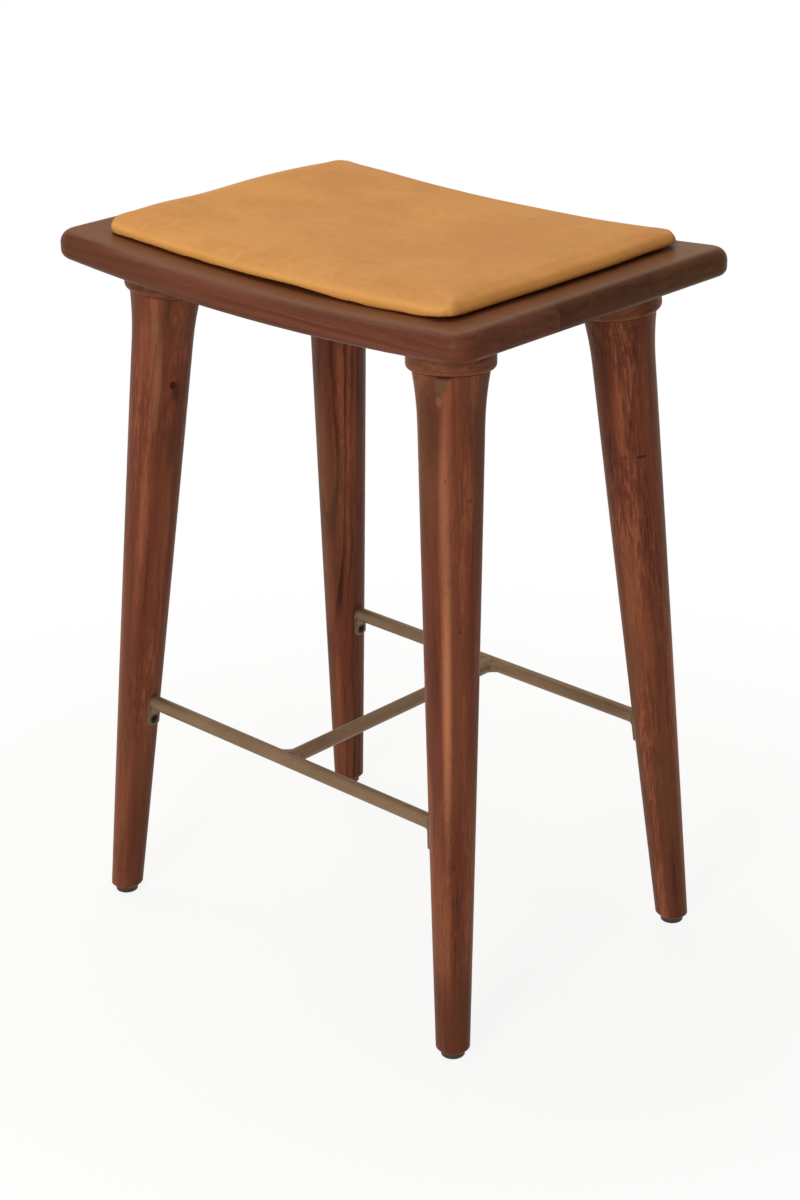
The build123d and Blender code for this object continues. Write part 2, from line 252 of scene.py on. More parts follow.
def make_wood_grain():
    """Open-pored dark timber, the grain along Z, the place in millimetres."""
    inputs = {
        "Place": Vector(), "Seed": 0.0, "Pith X": 60.0, "Pith Y": 20.0, "Ring Width": 9.0,
        "Ring Depth": 0.2, "Wander": 12.0, "Bands": 0.5, "Clouds": 0.4, "Dashes": 0.3,
        "Pale": WHITE, "Middle": WHITE, "Dark": WHITE, "Cast": WHITE,
    }
    outputs = {"Color": tuple, "Roughness": float, "Height": float}
    bench, given, out = node_group("Wood grain", inputs, outputs)
    place = bench.vector("ADD", given["Place"], bench.scaled(SEED_STRIDE, given["Seed"]))

    def figure(kind, where=place, output="Fac"):
        across, along, detail, rough = FIGURE[kind]
        return bench.noise(where, (across, across, along), detail, rough).outputs[output]

    # Growth rings round a pith outside the piece, bent by a slow wander of the grain
    wander = bench.vector("SUBTRACT", figure("wander", output="Color"), (0.5, 0.5, 0.5))
    wander = bench.scaled(wander, given["Wander"])
    bent = bench.vector("MULTIPLY_ADD", wander, (2.0, 2.0, 0.0), given["Place"])
    split = bench.split(bent)
    side_x = bench.sum("SUBTRACT", split["X"], given["Pith X"])
    side_y = bench.sum("SUBTRACT", split["Y"], given["Pith Y"])
    squares = [bench.sum("POWER", side, 2.0) for side in (side_x, side_y)]
    reach = bench.sum("SQRT", bench.sum("ADD", *squares))
    loose = figure("loose")
    phase = bench.sum("ADD", bench.sum("DIVIDE", reach, given["Ring Width"]), loose)
    phase = bench.sum("FRACT", phase)
    growth = bench.step(phase, LATE_START, LATE_END)
    late = bench.times(growth, bench.step(phase, LATE_END, 1.0, 1.0, 0.0))
    depth = bench.times(given["Ring Depth"], bench.step(loose, 0.25, 0.65))
    late = bench.times(late, depth)

    # Broad bands and clouds of tone along the grain, hair-fine fibres, and short dark pores
    band = bench.centred(bench.step(figure("band"), 0.3, 0.7))
    band = bench.times(band, given["Bands"])
    cloud = bench.times(bench.centred(figure("cloud", bent)), given["Clouds"])
    fibre = figure("fibre")
    pore = bench.step(figure("pore"), 0.62, 0.74)

    # Dashes as long as a fingernail, light and dark, that come and go over the surface
    open_grain = bench.step(figure("open grain"), 0.42, 0.62)
    dash = bench.centred(bench.step(figure("dash"), 0.3, 0.7))
    dash = bench.times(dash, given["Dashes"])
    dash = bench.times(dash, bench.sum("MULTIPLY_ADD", open_grain, 0.75, 0.25))

    tone = bench.sum("SUBTRACT", MIDDLE_TONE, late)
    tone = bench.sum("ADD", tone, band)
    tone = bench.sum("MULTIPLY_ADD", bench.centred(fibre), FIBRE_TONE, tone)
    tone = bench.sum("ADD", bench.sum("ADD", cloud, dash), tone)
    low = bench.paint(bench.step(tone, 0.0, 0.55), given["Dark"], given["Middle"])
    colour = bench.paint(bench.step(tone, 0.5, 1.0), low, given["Pale"])
    drift = bench.step(figure("drift"), 0.42, 0.7, 0.0, CAST_SHARE)
    colour = bench.paint(drift, colour, given["Cast"])
    colour = bench.paint(bench.times(pore, PORE_SHARE), colour, given["Dark"])
    bench.put(out.inputs["Color"], colour)
    rough = bench.sum("MULTIPLY_ADD", fibre, FIBRE_ROUGH, WOOD_ROUGH)
    bench.put(out.inputs["Roughness"], bench.sum("MULTIPLY_ADD", pore, PORE_ROUGH, rough))
    height = bench.sum("MULTIPLY_ADD", pore, -1.0, bench.times(fibre, 0.5))
    bench.put(out.inputs["Height"], height)
    return bench.tree


def make_spot():
    """A soft-edged oval mark, such as filler or a knot: one inside it, zero outside."""
    size = Vector((5.0, 5.0, 5.0))
    inputs = {"Place": Vector(), "Middle": Vector(), "Size": size, "Edge": 0.25, "Ragged": 0.4}
    bench, given, out = node_group("Oval mark", inputs, {"Mark": float})
    away = bench.vector("SUBTRACT", given["Place"], given["Middle"])
    away = bench.vector("DIVIDE", away, given["Size"])
    ripple = bench.noise(given["Place"], (0.35, 0.35, 0.16)).outputs["Fac"]
    ripple = bench.times(bench.centred(ripple), given["Ragged"])
    distance = bench.sum("ADD", bench.vector("LENGTH", away), ripple)
    start = bench.sum("SUBTRACT", 1.0, given["Edge"])
    bench.put(out.inputs["Mark"], bench.step(distance, start, 1.0, 1.0, 0.0))
    return bench.tree


def make_mottle():
    """Cloudy light and dark of two sizes, for leather, plastic, cloth and paint, in millimetres."""
    inputs = {"Place": Vector(), "Cloud Size": 40.0, "Fleck Size": 4.0}
    inputs |= {"Light": WHITE, "Dark": WHITE}
    outputs = {"Color": tuple, "Cloud": float, "Fleck": float}
    bench, given, out = node_group("Mottle", inputs, outputs)

    def spots(size, detail, rough):
        place = bench.scaled(given["Place"], bench.sum("DIVIDE", 1.0, given[size]))
        return bench.noise(place, (1.0, 1.0, 1.0), detail, rough).outputs["Fac"]

    cloud = spots("Cloud Size", 3.0, 0.55)
    fleck = spots("Fleck Size", 2.0, 0.6)
    share = bench.sum("MULTIPLY_ADD", fleck, 0.3, bench.times(cloud, 0.7))
    colour = bench.paint(bench.step(share, 0.33, 0.67), given["Dark"], given["Light"])
    bench.put(out.inputs["Color"], colour)
    bench.put(out.inputs["Cloud"], cloud)
    bench.put(out.inputs["Fleck"], fleck)
    return bench.tree


WOOD_GRAIN = make_wood_grain()
OVAL_MARK = make_spot()
MOTTLE = make_mottle()


def new_material(name):
    """A material with its bench and its main shader."""
    material = bpy.data.materials.new(name)
    material.use_nodes = True
    bench = NodeBench(material.node_tree)
    return material, bench, material.node_tree.nodes["Principled BSDF"]


def placed(bench, origin=(0.0, 0.0, 0.0), turn=(0.0, 0.0, 0.0)):
    """Object coordinates in millimetres, seen from an origin and a turn of the piece's own."""
    where = bench.coordinate("Object")
    values = {"Vector": where, "Location": origin, "Rotation": turn, "Scale": (MM, MM, MM)}
    return bench.add("ShaderNodeMapping", values, vector_type="TEXTURE").outputs["Vector"]


def set_group(bench, tree, values):
    """A group placed in a material with its own values."""
    node = bench.add("ShaderNodeGroup", node_tree=tree)
    for name, value in values.items():
        bench.put(node.inputs[name], value)
    return node.outputs


def mottled(bench, place, cloud_size, fleck_size, light, dark):
    """The mottle's outputs for one material's sizes in millimetres and colours."""
    values = {"Place": place, "Cloud Size": cloud_size, "Fleck Size": fleck_size}
    return set_group(bench, MOTTLE, values | {"Light": shade(*light), "Dark": shade(*dark)})


def finish(bench, shader, colour, rough, height, depth):
    """A surface's colour and roughness, and its bump of a real depth in metres."""
    bench.put(shader.inputs["Base Color"], colour)
    bench.put(shader.inputs["Roughness"], rough)
    bump = bench.add("ShaderNodeBump", {"Height": height, "Distance": depth})
    bench.put(shader.inputs["Normal"], bump.outputs["Normal"])


# A thin satin varnish, the coat of a seat that is rubbed glossier where it faces up, and the share
# of painted sheen laid on that top
SATIN = {
    "Specular IOR Level": 0.1, "Specular Tint": (1.0, 0.74, 0.5, 1.0),
    "Coat Weight": 0.03, "Coat Roughness": 0.24,
}
RUBBED_COAT = 0.08
# How much of the seat top's colour is painted sheen, standing in for the warm reflection it catches
PAINTED_SHEEN_SHARE = 0.5
SPOT_RAGGED = 0.4
PORE_DEPTH = 0.00006
JOINT_WIDTH, JOINT_SHARE = 0.0006, 0.55


def wood_material(name, origin, turn, colours, marks=(), seat=False, **grain):
    """Varnished timber. Marks are (middle, size, colour, strength, edge) in the piece's own mm."""
    material, bench, shader = new_material(name)
    place = placed(bench, origin, turn)
    pale, middle, dark, cast = [shade(*colour) for colour in colours]
    values = {"Place": place, "Pale": pale, "Middle": middle, "Dark": dark, "Cast": cast}
    values |= {key.replace("_", " ").title(): value for key, value in grain.items()}
    wood = set_group(bench, WOOD_GRAIN, values)
    colour = wood["Color"]
    for spot, size, spot_colour, strength, edge in marks:
        values = {"Place": place, "Middle": spot, "Size": size, "Edge": edge, "Ragged": SPOT_RAGGED}
        mark = set_group(bench, OVAL_MARK, values)["Mark"]
        colour = bench.paint(bench.times(mark, strength), colour, shade(*spot_colour))
    for socket, value in SATIN.items():
        shader.inputs[socket].default_value = value

    # The dark joint lines between the seat's boards, and its top: a painted sheen in its colour
    # where it faces up, and a glossier coat there
    if seat:
        across = bench.sum("ABSOLUTE", bench.split(bench.coordinate("Object"))["Y"])
        off_line = bench.sum("ABSOLUTE", bench.sum("SUBTRACT", across, BOARD_JOINT))
        joint = bench.step(off_line, 0.0, JOINT_WIDTH, JOINT_SHARE, 0.0)
        colour = bench.paint(joint, colour, dark)
        upwards = bench.split(bench.coordinate("Normal"))["Z"]
        # Painted sheen: the top is painted a lighter brown where it faces up
        painted_sheen = bench.step(upwards, 0.9, 0.99, 0.0, PAINTED_SHEEN_SHARE)
        colour = bench.paint(painted_sheen, colour, shade(*PAINTED_SHEEN_TOP))
        coat = bench.step(upwards, 0.88, 0.99, SATIN["Coat Weight"], RUBBED_COAT)
        bench.put(shader.inputs["Coat Weight"], coat)
    finish(bench, shader, colour, wood["Roughness"], wood["Height"], PORE_DEPTH)
    return material


def give(name, material):
    """A CAD node's finish, on each of its slots."""
    mesh = nodes[name].data
    if not mesh.materials:
        mesh.materials.append(material)
    for index in range(len(mesh.materials)):
        mesh.materials[index] = material


LEG_COLOURS = ((147, 87, 63), (105, 56, 42), (57, 27, 20), (108, 70, 47))
BLOCK_COLOURS = ((140, 86, 62), (108, 61, 45), (62, 30, 22), (110, 72, 50))
SEAT_COLOURS = {
    "seat_front_board": ((120, 71, 53), (92, 51, 39), (55, 25, 19), (90, 56, 36)),
    "seat_middle_board": ((98, 54, 32), (72, 36, 22), (43, 20, 12), (74, 45, 23)),
    "seat_back_board": ((100, 58, 33), (74, 42, 24), (42, 21, 12), (84, 51, 28)),
}
# Painted sheen: the lighter brown laid on the seat's top where it faces up
PAINTED_SHEEN_TOP = (114, 69, 37)
FILLER = (96, 72, 51)
KNOT = (44, 22, 16)
# Painted sheen: a pale band where the front lamp's highlight runs down a leg
PAINTED_SHEEN_BAND = (160, 102, 74)
CHIP = (196, 132, 108)

# Each leg's seed, its pith and its rings, and the same for the blocks and the seat's boards
LEG_WOOD = {
    "front_right": dict(seed=1.7, pith_x=46.0, pith_y=38.0, ring_width=15.0),
    "front_left": dict(seed=4.3, pith_x=30.0, pith_y=-52.0, ring_width=17.0, dashes=0.35),
    "back_left": dict(
        seed=7.9, pith_x=38.0, pith_y=34.0, ring_width=5.5, ring_depth=0.5, clouds=0.3,
    ),
    "back_right": dict(seed=11.2, pith_x=-44.0, pith_y=30.0, ring_width=13.0, dashes=0.55),
}
BLOCK_GRAIN = dict(pith_x=90.0, pith_y=15.0, ring_width=7.0, ring_depth=0.3, dashes=0.5)
BLOCK_SEED = 20.0
BLOCK_TURN = 0.4
BOARD_GRAIN = dict(
    ring_width=8.0, ring_depth=0.34, wander=4.0, bands=0.25, clouds=0.15, dashes=0.2,
)
BOARD_WOOD = {
    "seat_front_board": dict(seed=31.0, pith_x=230.0, pith_y=-150.0),
    "seat_middle_board": dict(seed=34.5, pith_x=190.0, pith_y=12.0),
    "seat_back_board": dict(seed=38.2, pith_x=210.0, pith_y=105.0),
}

# Filler, knots, pores, chips and darker patches on the legs, with bands of painted sheen, painted
# shade and a band of painted reflection, in each leg's own millimetres from the floor up: middle,
# size, colour, strength and softness of the edge
LEG_MARKS = {
    "front_right": (
        # Darker wood with painted shade at the top of the leg, where the seat shades it, on its
        # left
        ((16.0, 20.0, 565.0), (15.0, 14.0, 60.0), (80, 45, 35), 0.65, 0.8),
        ((6.7, 26.5, 601.0), (7.5, 6.0, 11.0), FILLER, 0.85, 0.3),
        # A near-black ragged stain at the filler's top, with painted shade in the seam under the
        # block
        ((6.0, 32.0, 607.0), (11.0, 10.0, 4.5), (38, 20, 14), 0.85, 0.6),
        # Painted shade down the leg's right side, away from the front lamp
        ((-15.0, 14.0, 430.0), (13.0, 16.0, 150.0), (86, 38, 29), 0.3, 0.8),
        ((9.5, 25.3, 586.2), (4.0, 4.0, 7.0), (126, 94, 66), 0.6, 0.4),
        ((5.5, 25.1, 519.7), (1.2, 3.0, 3.4), KNOT, 0.9, 0.3),
        # A greyish-pink band of painted reflection down the leg's left side
        ((18.5, 17.0, 300.0), (10.0, 12.0, 300.0), (98, 56, 48), 0.45, 0.85),
        # Pale bands of painted sheen down the front of the leg, where the front lamp's highlight
        # falls
        ((6.5, 24.0, 500.0), (6.0, 9.0, 110.0), PAINTED_SHEEN_BAND, 0.55, 0.85),
        ((4.3, 22.0, 330.0), (5.5, 9.0, 190.0), (178, 116, 84), 0.8, 0.9),
        ((4.3, 18.0, 110.0), (4.5, 8.0, 130.0), PAINTED_SHEEN_BAND, 0.35, 0.9),
        ((-8.1, 24.1, 508.5), (0.8, 4.0, 24.0), KNOT, 0.5, 0.4),
        ((-13.9, 21.2, 502.7), (4.5, 4.0, 2.4), (88, 36, 36), 0.5, 0.5),
        ((-6.5, 22.0, 392.3), (1.4, 3.0, 2.0), KNOT, 0.6, 0.4),
        # Darker wood with painted shade at the top of the leg, where the seat shades it, on its
        # right
        ((-14.0, 12.0, 555.0), (15.0, 18.0, 70.0), (70, 34, 26), 0.75, 0.8),
        ((0.0, 0.0, 40.0), (30.0, 30.0, 75.0), (74, 36, 27), 0.55, 0.6),
    ),
    "front_left": (
        ((-23.2, -11.2, 526.0), (3.5, 3.5, 5.0), (34, 16, 11), 0.95, 0.35),
        ((-21.1, -13.6, 520.0), (6.5, 7.0, 14.0), (58, 30, 20), 0.7, 0.6),
        ((-26.1, 6.7, 580.1), (4.5, 4.5, 9.0), (116, 88, 60), 0.8, 0.3),
        ((-20.1, 18.2, 590.6), (2.6, 2.6, 5.0), KNOT, 0.7, 0.5),
        ((-18.2, -19.8, 578.4), (1.5, 2.0, 2.6), KNOT, 0.85, 0.4),
        # A pale band of painted sheen down the front of the leg
        ((-26.0, 2.4, 530.0), (6.0, 6.0, 62.0), (146, 96, 68), 0.55, 0.85),
        ((-17.0, -20.5, 556.0), (3.0, 3.0, 18.0), (150, 88, 54), 0.6, 0.6),
        ((-20.9, -13.6, 470.0), (6.0, 7.0, 34.0), (72, 40, 28), 0.5, 0.8),
        ((0.0, 0.0, 60.0), (30.0, 30.0, 110.0), (76, 40, 30), 0.4, 0.7),
    ),
    "back_right": (
        ((24.4, 4.7, 480.2), (5.0, 7.0, 2.0), KNOT, 0.75, 0.5),
        ((22.8, -10.0, 480.9), (4.0, 5.0, 1.6), KNOT, 0.55, 0.5),
        # Pale bands of painted sheen down the front of the leg
        ((23.6, -11.5, 520.0), (7.0, 6.0, 60.0), (146, 84, 58), 0.5, 0.85),
        ((21.1, -0.8, 303.1), (6.0, 5.0, 80.0), (142, 80, 56), 0.4, 0.85),
    ),
    "back_left": (
        ((0.0, 0.0, 420.0), (40.0, 40.0, 300.0), (70, 34, 24), 0.4, 0.9),
        ((10.9, -15.6, 203.3), (0.9, 0.9, 2.2), CHIP, 0.9, 0.4),
        ((13.1, -13.2, 185.4), (0.9, 0.9, 3.4), CHIP, 0.8, 0.4),
    ),
}


def leg_frame(corner):
    """A leg's origin on the floor and the turn that puts its own Z along its axis."""
    depth, side = corner.split("_")
    signs = Vector((1 if side == "right" else -1, 1 if depth == "back" else -1, 1))
    foot, head = FOOT * signs, HEAD * signs
    return foot, (head - foot).to_track_quat("Z", "Y").to_euler()


def dress_wood():
    """Legs, blocks and seat boards, each with its own run of grain."""
    on_edge = Euler((0.0, math.pi / 2, 0.0))
    for number, (corner, grain) in enumerate(LEG_WOOD.items()):
        foot, turn = leg_frame(corner)
        title = f"Leg timber {number + 1}"
        timber = wood_material(title, foot, turn, LEG_COLOURS, LEG_MARKS[corner], **grain)
        give(f"leg_{corner}", timber)
        lying = Euler((0.0, math.pi / 2, BLOCK_TURN * number)).to_matrix()
        flat = (turn.to_matrix() @ lying).to_euler()
        head = foot + turn.to_matrix() @ Vector((0.0, 0.0, BLOCK_RISE))
        title = f"Block timber {number + 1}"
        grain = dict(BLOCK_GRAIN, seed=BLOCK_SEED + number)
        give(f"leg_block_{corner}", wood_material(title, head, flat, BLOCK_COLOURS, **grain))
    for name, grain in BOARD_WOOD.items():
        title = name.replace("_", " ").capitalize()
        grain = dict(BOARD_GRAIN, **grain)
        place = (0.0, 0.0, SEAT_MIDDLE)
        give(name, wood_material(title, place, on_edge, SEAT_COLOURS[name], seat=True, **grain))


# Where the rods' coating is chipped, as shares of noise and in mm from the middle, the chips'
# colour, and how rough and how metallic the coating and its chips are
CHIP_NOISE = (0.3, 0.3, 0.3)
CHIP_SHARES = (0.71, 0.74)
CHIP_ENDS = (150.0, 178.0)
BARE_STEEL = (196, 186, 172)
COATING_ROUGH, COATING_CLOUDS = 0.4, 0.16
COATING_METAL, CHIP_METAL = 0.36, 0.3


def rod_material(name, light, dark):
    """Bronze-brown satin coating on steel, with slight clouds and a few chips near the ends."""
    material, bench, shader = new_material(name)
    place = placed(bench)
    cloud = mottled(bench, place, 45.0, 1.6, light, dark)
    chip = bench.step(bench.noise(place, CHIP_NOISE).outputs["Fac"], *CHIP_SHARES)
    out_x = bench.sum("ABSOLUTE", bench.split(place)["X"])
    chip = bench.times(chip, bench.step(out_x, *CHIP_ENDS))
    colour = bench.paint(chip, cloud["Color"], shade(*BARE_STEEL))
    rough = bench.sum("MULTIPLY_ADD", cloud["Cloud"], COATING_CLOUDS, COATING_ROUGH)
    metal = bench.sum("MULTIPLY_ADD", chip, CHIP_METAL, COATING_METAL)
    bench.put(shader.inputs["Metallic"], metal)
    finish(bench, shader, colour, rough, cloud["Fleck"], 0.00005)
    return material


def plain_matter(name, light, dark, rough, cell, depth, cloud=12.0, uneven=0.1, metal=0.0):
    """Fine cells or scratches on a mottled ground, for plastic, board, tape and small steel."""
    material, bench, shader = new_material(name)
    ground = mottled(bench, placed(bench), cloud, cell, light, dark)
    rough = bench.sum("MULTIPLY_ADD", ground["Fleck"], uneven, rough)
    shader.inputs["Metallic"].default_value = metal
    finish(bench, shader, ground["Color"], rough, ground["Fleck"], depth)
    return material


# The leather's colours, the band in mm along Y where its front edge gets a painted highlight, the
# band over which faint pulls come in, and how rough it is
TAN_LIGHT = (207, 150, 86)
TAN_DARK = (195, 136, 74)
PULL_COLOUR = (220, 168, 102)
# Painted highlight: the paler colour of the front edge, where it faces the front lamp
PAINTED_HIGHLIGHT_COLOUR = (218, 161, 90)
PAINTED_HIGHLIGHT_BAND = (-136.0, -143.0)
PULLED_BAND = (-60.0, -135.0)
PULL_SHARE, PAINTED_HIGHLIGHT_SHARE = 0.22, 0.6
PULL_HEIGHT = -0.4
PEBBLE_SHARE, FINE_SHARE = 0.7, 0.3
PEBBLE_DEPTH = 0.00012
LEATHER_ROUGH, LEATHER_CLOUDS = 0.48, 0.16
LEATHER_SPECULAR = 0.12


def leather_material():
    """Tan aniline leather: soft clouds, pebbled grain, faint pulls from the front, a painted
    highlight on the front edge.
    """
    material, bench, shader = new_material("Tan leather")
    place = placed(bench)
    cloud = mottled(bench, place, 70.0, 9.0, TAN_LIGHT, TAN_DARK)
    along_y = bench.split(place)["Y"]
    # A painted highlight along the pad's front edge, which faces the front lamp
    front = bench.step(along_y, *PAINTED_HIGHLIGHT_BAND)
    pull_field = bench.noise(place, (0.06, 0.02, 0.02)).outputs["Fac"]
    pull = bench.step(bench.sum("ABSOLUTE", bench.centred(pull_field)), 0.0, 0.05, 1.0, 0.0)
    patchy = bench.noise(place, (0.02, 0.02, 0.02), 1.0).outputs["Fac"]
    pull = bench.times(pull, bench.step(patchy, 0.45, 0.65))
    pull = bench.times(pull, bench.step(along_y, *PULLED_BAND))
    pulled = bench.times(pull, PULL_SHARE)
    colour = bench.paint(pulled, cloud["Color"], shade(*PULL_COLOUR))
    colour = bench.paint(bench.times(front, PAINTED_HIGHLIGHT_SHARE), colour, shade(*PAINTED_HIGHLIGHT_COLOUR))
    cells = {"Vector": place, "Scale": 0.95, "Smoothness": 0.6}
    pebble = bench.add("ShaderNodeTexVoronoi", cells, feature="SMOOTH_F1").outputs["Distance"]
    fine = bench.noise(place, (2.2, 2.2, 2.2)).outputs["Fac"]
    fine = bench.times(fine, FINE_SHARE)
    height = bench.sum("MULTIPLY_ADD", pebble, PEBBLE_SHARE, fine)
    height = bench.sum("MULTIPLY_ADD", pull, PULL_HEIGHT, height)
    rough = bench.sum("MULTIPLY_ADD", cloud["Cloud"], LEATHER_CLOUDS, LEATHER_ROUGH)
    finish(bench, shader, colour, rough, height, PEBBLE_DEPTH)
    shader.inputs["Specular IOR Level"].default_value = LEATHER_SPECULAR
    return material


def pad_outline(inset):
    """Points round the pad, its corners rounded and its sides drawn in between them, each with the
    share by which it faces the front."""
    half = PAD_HALF - Vector((inset, inset))
    corners = []
    for quarter, (sign_x, sign_y) in enumerate(CORNERS):
        radius = max(PAD_CORNERS[sign_x, sign_y] - inset, LEAST_CORNER)
        middle = Vector((sign_x * (half.x - radius), sign_y * (half.y - radius)))
        turns = [(quarter + step / CORNER_STEPS) * math.pi / 2 for step in range(CORNER_STEPS + 1)]
        outwards = [Vector((math.cos(turn), math.sin(turn))) for turn in turns]
        corners.append([(middle + radius * way, max(-way.y, 0.0) ** 2) for way in outwards])
    points = []
    for quarter, corner in enumerate(corners):
        points += corner
        start, front = corner[-1]
        end = corners[(quarter + 1) % 4][0][0]
        turn = (quarter + 1) * math.pi / 2
        inwards = Vector((-math.cos(turn), -math.sin(turn)))
        run = END_STEPS if quarter % 2 else SIDE_STEPS
        drawn_in = PAD_DRAWN_IN.x if quarter % 2 else PAD_DRAWN_IN.y
        for step in range(1, run):
            share = step / run
            bow = inwards * drawn_in * 4 * share * (1 - share)
            points.append((start.lerp(end, share) + bow, front))
    return points


def pad_rise(x):
    """How far the pad's underside has risen at a distance from the seat's middle."""
    return PAD_RADIUS - math.sqrt(PAD_RADIUS**2 - x * x)


def pad_ring(soft, firm):
    """One ring of points round the pad, from the inset and height of its roll and of its fold."""
    ring = []
    for (rolled, front), (folded, _) in zip(pad_outline(soft[0]), pad_outline(firm[0])):
        place = rolled.lerp(folded, front) + PAD_PLACE
        height = soft[1] + (firm[1] - soft[1]) * front
        ring.append(Vector((place.x, place.y, PAD_BASE + pad_rise(place.x) + height)))
    return ring


def make_pad_shell():
    """The pad before it swells: rings of points from the middle of its underside, over its rim and
    its top."""
    rings = []
    for step in range(FLAT_RINGS):
        level = (PAD_HALF.y - UNDER_START - UNDER_STEP * step, 0.0)
        rings.append(pad_ring(level, level))
    for soft, firm in zip(SOFT_RIM, FIRM_RIM):
        rings.append(pad_ring([size * MM for size in soft], [size * MM for size in firm]))
    for step in range(FLAT_RINGS):
        inset = TOP_START + TOP_STEP * step
        share = min(inset / CROWN_REACH, 1.0)
        level = (inset, TOP_HEIGHT + PAD_CROWN * (1 - (1 - share) ** 2))
        rings.append(pad_ring(level, level))
    shell = bmesh.new()
    made = [[shell.verts.new(point) for point in ring] for ring in rings]
    for ring, following in zip(made, made[1:]):
        for index in range(len(ring)):
            after = (index + 1) % len(ring)
            shell.faces.new((ring[index], ring[after], following[after], following[index]))
    for ring in (made[0], made[-1]):
        shell.faces.new(ring)
    bmesh.ops.triangulate(shell, faces=[face for face in shell.faces if len(face.verts) > 4])
    bmesh.ops.recalc_face_normals(shell, faces=shell.faces)
    return shell


def linked(name, data):
    """A new object in the scene."""
    made = bpy.data.objects.new(name, data)
    bpy.context.scene.collection.objects.link(made)
    return made


def plain_mesh(source, name):
    """An object's evaluated mesh as a new object of its own, and the source removed."""
    graph = bpy.context.evaluated_depsgraph_get()
    graph.update()
    mesh = bpy.data.meshes.new_from_object(source.evaluated_get(graph))
    mesh.name = name
    bpy.data.objects.remove(source)
    return linked(name, mesh)


def new_object(name, form):
    """A bmesh turned into an object in the scene."""
    mesh = bpy.data.meshes.new(name)
    form.to_mesh(mesh)
    form.free()
    return linked(name, mesh)


def swell_pad(pad):
    """Blows the cover up a little as cloth over its filling. Its underside is held by the board."""
    start = [vertex.co.copy() for vertex in pad.data.vertices]
    held = pad.vertex_groups.new(name="held")
    for index, point in enumerate(start):
        rise = point.z - PAD_BASE - pad_rise(point.x)
        weight = 1.0 if rise < HELD_BELOW else max(0.0, 1.0 - (rise - HELD_BELOW) / HELD_FADE)
        held.add([index], weight, "REPLACE")
    cloth = pad.modifiers.new("Swell", "CLOTH")
    for name, value in SWELL_CLOTH.items():
        setattr(cloth.settings, name, value)
    cloth.settings.effector_weights.gravity = 0.0
    cloth.point_cache.frame_start = 1
    cloth.point_cache.frame_end = SWELL_FRAMES
    scene = bpy.context.scene
    for number in range(1, SWELL_FRAMES + 1):
        scene.frame_set(number)
    blown = pad.evaluated_get(bpy.context.evaluated_depsgraph_get()).data
    moves = [blown.vertices[index].co - point for index, point in enumerate(start)]
    pad.modifiers.remove(cloth)
    pad.vertex_groups.clear()
    scene.frame_set(1)
    for vertex, point, move in zip(pad.data.vertices, start, moves):
        vertex.co = point + move * min(1.0, SWELL_MOST / max(move.length, 1e-9))


def hump(value, middle, width):
    """A smooth hill: one at its middle, nearly zero two widths away."""
    return math.exp(-((value - middle) / width) ** 2)


def ramp(value, low, high):
    """A smooth step from zero at one value to one at another."""
    share = min(max((value - low) / (high - low), 0.0), 1.0)
    return share * share * (3 - 2 * share)


def waves(place, height, closeness, layer):
    """Faint uneven waves over a flat place."""
    where = Vector((place.x * closeness, place.y * closeness, layer))
    return height * noise.noise(where)


def settle_pad(pad):
    """Slow waves in the pad's top and rim, and a small tuck at each corner."""
    for vertex in pad.data.vertices:
        point = vertex.co
        flat = Vector((point.x, point.y)) - PAD_PLACE
        top = ramp(point.z - PAD_BASE - pad_rise(point.x), 0.0, TOP_FADE)
        point.z += waves(point, *TOP_WAVES) * top
        for height, along, across in PAD_HILLS:
            point.z += height * hump(flat.x, *along) * hump(flat.y, *across) * top
        point.z -= DROOP_DEPTH * hump((flat - DROOP_MIDDLE).length, 0.0, DROOP_WIDTH) * top
        point.z += ramp(flat.x, END_START, END_FULL) * END_LIFT * (1 - top)
        front = ramp(-flat.y, FRONT_START, FRONT_FULL) * (1 - top)
        lifts = (height * hump(point.x, middle, width) for height, middle, width in FRONT_WAVES)
        point.z += front * sum(lifts, FRONT_LIFT)

        # Pulled out of square at its corners, and fuller along its right end, still in its curve
        point.z -= pad_rise(point.x)
        share_x, share_y = (min(max(flat[axis] / PAD_HALF[axis], -1.0), 1.0) for axis in (0, 1))
        for (sign_x, sign_y), pull in zip(CORNERS, PULLS):
            weight = (1 + sign_x * share_x) * (1 + sign_y * share_y) / 4
            point.x += weight * pull[0]
            point.y += weight * pull[1]
        point.x += PAD_BULGE * ramp(flat.x, 0.0, PAD_HALF.x) * (1 - share_y * share_y)
        point.z += pad_rise(point.x)

        # Sides that sway a little, and corners tucked in at their middle
        sway = waves(point, *SIDE_WAVES)
        point.x += sway * flat.x / PAD_HALF.x
        point.y += sway * flat.y / PAD_HALF.y
        signs = [math.copysign(1, flat[axis]) for axis in (0, 1)]
        radius = PAD_CORNERS[tuple(signs)]
        corner = Vector([abs(flat[axis]) - PAD_HALF[axis] + radius for axis in (0, 1)])
        if min(corner) > 0:
            turn = math.atan2(corner.y, corner.x) - math.pi / 4
            tuck = TUCK_DEPTH * hump(turn, 0.0, TUCK_WIDTH)
            tuck *= min(corner.length / radius, 1.0) ** 3
            point.x -= tuck * signs[0]
            point.y -= tuck * signs[1]


def divided(mesh, name):
    """A finer copy of a mesh: each face divided into four."""
    source = linked(name, mesh)
    finer = source.modifiers.new("Finer", "SUBSURF")
    finer.levels = finer.render_levels = 1
    return plain_mesh(source, name)


